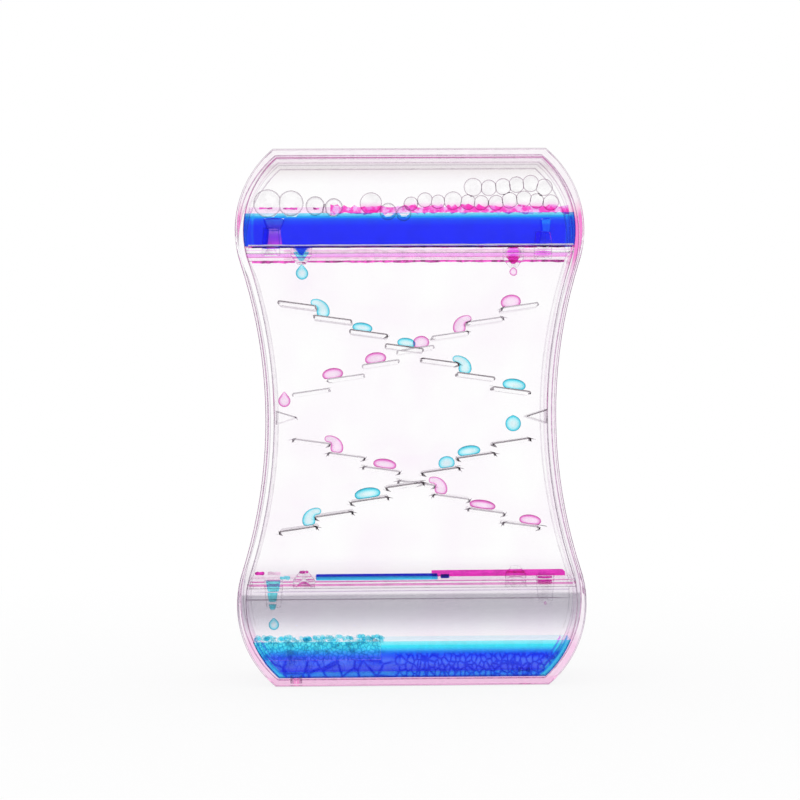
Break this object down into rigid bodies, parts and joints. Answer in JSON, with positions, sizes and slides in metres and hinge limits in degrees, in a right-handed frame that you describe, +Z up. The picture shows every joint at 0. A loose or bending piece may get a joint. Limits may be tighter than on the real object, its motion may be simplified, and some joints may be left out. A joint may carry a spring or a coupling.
{
  "type": "liquid motion timer",
  "caption": "Clear hourglass-shaped box in which blue and pink drops run down crossing ramps of small steps from an upper to a lower end; it is turned over to start again.",
  "frame": {"origin": "middle of the flat bottom face that the timer stands on", "axes": "+Z up along the hourglass, +X to the right, -Y is the front with the blue liquid"},
  "size_m": [0.0878, 0.034, 0.135],
  "materials": {
    "clear_case": "polished clear moulded plastic",
    "clear_nozzle": "polished clear moulded plastic",
    "clear_step": "polished clear moulded plastic, seen by its dark edges",
    "clear_plug": "clear plastic plug",
    "clear_oil": "clear light mineral oil",
    "blue_liquid": "deep blue dyed water",
    "pink_liquid": "magenta dyed water",
    "blue_drop": "thin pale cyan drop of dyed water",
    "pink_drop": "thin pale pink drop of dyed water",
    "blue_foam": "layer of small unmerged drops of dyed water",
    "bubble": "clear bubble skin"
  },
  "bodies": {
    "casing": {"back_bubbles": "bubble", "back_deflector": "clear_step", "back_fill_plug": "clear_plug", "back_lower_drain_nozzle": "clear_nozzle", "back_lower_drip_nozzle": "clear_nozzle", "back_lower_plate": "clear_nozzle", "back_lower_steps": "clear_step", "back_oil": "clear_oil", "back_shell": "clear_case", "back_upper_drain_nozzle": "clear_nozzle", "back_upper_drip_nozzle": "clear_nozzle", "back_upper_plate": "clear_nozzle", "back_upper_steps": "clear_step", "blue_foam": "blue_foam", "blue_lower_liquid": "blue_liquid", "blue_pool": "blue_liquid", "blue_upper_liquid": "blue_liquid", "centre_partition": "clear_case", "front_bubbles": "bubble", "front_deflector": "clear_step", "front_fill_plug": "clear_plug", "front_lower_drain_nozzle": "clear_nozzle", "front_lower_drip_nozzle": "clear_nozzle", "front_lower_plate": "clear_nozzle", "front_lower_steps": "clear_step", "front_oil": "clear_oil", "front_shell": "clear_case", "front_upper_drain_nozzle": "clear_nozzle", "front_upper_drip_nozzle": "clear_nozzle", "front_upper_plate": "clear_nozzle", "front_upper_steps": "clear_step", "pink_lower_liquid": "pink_liquid", "pink_pool": "pink_liquid", "pink_upper_liquid": "pink_liquid"},
    "blue_drop_1": {"blue_drop_1": "blue_drop"},
    "blue_drop_2": {"blue_drop_2": "blue_drop"},
    "blue_drop_3": {"blue_drop_3": "blue_drop"},
    "blue_drop_4": {"blue_drop_4": "blue_drop"},
    "blue_drop_5": {"blue_drop_5": "blue_drop"},
    "blue_drop_6": {"blue_drop_6": "blue_drop"},
    "blue_drop_7": {"blue_drop_7": "blue_drop"},
    "blue_drop_8": {"blue_drop_8": "blue_drop"},
    "blue_drop_9": {"blue_drop_9": "blue_drop"},
    "blue_drop_10": {"blue_drop_10": "blue_drop"},
    "blue_drop_11": {"blue_drop_11": "blue_drop"},
    "blue_drop_12": {"blue_drop_12": "blue_drop"},
    "pink_drop_1": {"pink_drop_1": "pink_drop"},
    "pink_drop_2": {"pink_drop_2": "pink_drop"},
    "pink_drop_3": {"pink_drop_3": "pink_drop"},
    "pink_drop_4": {"pink_drop_4": "pink_drop"},
    "pink_drop_5": {"pink_drop_5": "pink_drop"},
    "pink_drop_6": {"pink_drop_6": "pink_drop"},
    "pink_drop_7": {"pink_drop_7": "pink_drop"},
    "pink_drop_8": {"pink_drop_8": "pink_drop"},
    "pink_drop_9": {"pink_drop_9": "pink_drop"},
    "pink_drop_10": {"pink_drop_10": "pink_drop"},
    "pink_drop_11": {"pink_drop_11": "pink_drop"},
    "pink_drop_12": {"pink_drop_12": "pink_drop"},
    "pink_drop_13": {"pink_drop_13": "pink_drop"}
  },
  "joints": [
    {"name": "blue_drop_1_fall", "type": "slide", "parent": "casing", "child": "blue_drop_1", "axis": [0, 0, -1], "range_m": [0, 0.0052]},
    {"name": "blue_drop_2_run", "type": "slide", "parent": "casing", "child": "blue_drop_2", "axis": [0.9903, 0, -0.1392], "range_m": [0, 0.0024]},
    {"name": "blue_drop_3_run", "type": "slide", "parent": "casing", "child": "blue_drop_3", "axis": [0.9903, 0, -0.1392], "range_m": [-0.0003, 0.0044]},
    {"name": "blue_drop_4_run", "type": "slide", "parent": "casing", "child": "blue_drop_4", "axis": [0.9903, 0, -0.1392], "range_m": [-0.0016, 0.0028]},
    {"name": "blue_drop_5_run", "type": "slide", "parent": "casing", "child": "blue_drop_5", "axis": [0.9903, 0, -0.1392], "range_m": [0, 0.0024]},
    {"name": "blue_drop_6_run", "type": "slide", "parent": "casing", "child": "blue_drop_6", "axis": [0.9903, 0, -0.1392], "range_m": [-0.0014, 0.0034]},
    {"name": "blue_drop_7_fall", "type": "slide", "parent": "casing", "child": "blue_drop_7", "axis": [0, 0, -1], "range_m": [-0.0012, 0.0016]},
    {"name": "blue_drop_8_run", "type": "slide", "parent": "casing", "child": "blue_drop_8", "axis": [-0.9903, 0, -0.1392], "range_m": [-0.0026, 0.0014]},
    {"name": "blue_drop_9_run", "type": "slide", "parent": "casing", "child": "blue_drop_9", "axis": [-0.9903, 0, -0.1392], "range_m": [0, 0.0044]},
    {"name": "blue_drop_10_run", "type": "slide", "parent": "casing", "child": "blue_drop_10", "axis": [-0.9903, 0, -0.1392], "range_m": [-0.0012, 0.0036]},
    {"name": "blue_drop_11_run", "type": "slide", "parent": "casing", "child": "blue_drop_11", "axis": [-0.9903, 0, -0.1392], "range_m": [0, 0.0034]},
    {"name": "blue_drop_12_fall", "type": "slide", "parent": "casing", "child": "blue_drop_12", "axis": [0, 0, -1], "range_m": [-0.002, 0.001]},
    {"name": "pink_drop_1_fall", "type": "slide", "parent": "casing", "child": "pink_drop_1", "axis": [0, 0, -1], "range_m": [0, 0.0044]},
    {"name": "pink_drop_2_run", "type": "slide", "parent": "casing", "child": "pink_drop_2", "axis": [-0.9903, 0, -0.1392], "range_m": [-0.0028, 0.0012]},
    {"name": "pink_drop_3_run", "type": "slide", "parent": "casing", "child": "pink_drop_3", "axis": [-0.9903, 0, -0.1392], "range_m": [0, 0.0032]},
    {"name": "pink_drop_4_run", "type": "slide", "parent": "casing", "child": "pink_drop_4", "axis": [-0.9903, 0, -0.1392], "range_m": [0, 0.0042]},
    {"name": "pink_drop_5_run", "type": "slide", "parent": "casing", "child": "pink_drop_5", "axis": [-0.9903, 0, -0.1392], "range_m": [-0.0024, 0.0022]},
    {"name": "pink_drop_6_run", "type": "slide", "parent": "casing", "child": "pink_drop_6", "axis": [-0.9903, 0, -0.1392], "range_m": [-0.0036, 0.0003]},
    {"name": "pink_drop_7_fall", "type": "slide", "parent": "casing", "child": "pink_drop_7", "axis": [0, 0, -1], "range_m": [-0.0012, 0.0009]},
    {"name": "pink_drop_8_run", "type": "slide", "parent": "casing", "child": "pink_drop_8", "axis": [0.9903, 0, -0.1392], "range_m": [0, 0.0034]},
    {"name": "pink_drop_9_run", "type": "slide", "parent": "casing", "child": "pink_drop_9", "axis": [0.9903, 0, -0.1392], "range_m": [-0.0018, 0.0032]},
    {"name": "pink_drop_10_run", "type": "slide", "parent": "casing", "child": "pink_drop_10", "axis": [0.9903, 0, -0.1392], "range_m": [0, 0.0034]},
    {"name": "pink_drop_11_run", "type": "slide", "parent": "casing", "child": "pink_drop_11", "axis": [0.9903, 0, -0.1392], "range_m": [0, 0.0036]},
    {"name": "pink_drop_12_run", "type": "slide", "parent": "casing", "child": "pink_drop_12", "axis": [0.9903, 0, -0.1392], "range_m": [-0.004, 0.0014]},
    {"name": "pink_drop_13_fall", "type": "slide", "parent": "casing", "child": "pink_drop_13", "axis": [0, 0, -1], "range_m": [0, 0.005]}
  ]
}
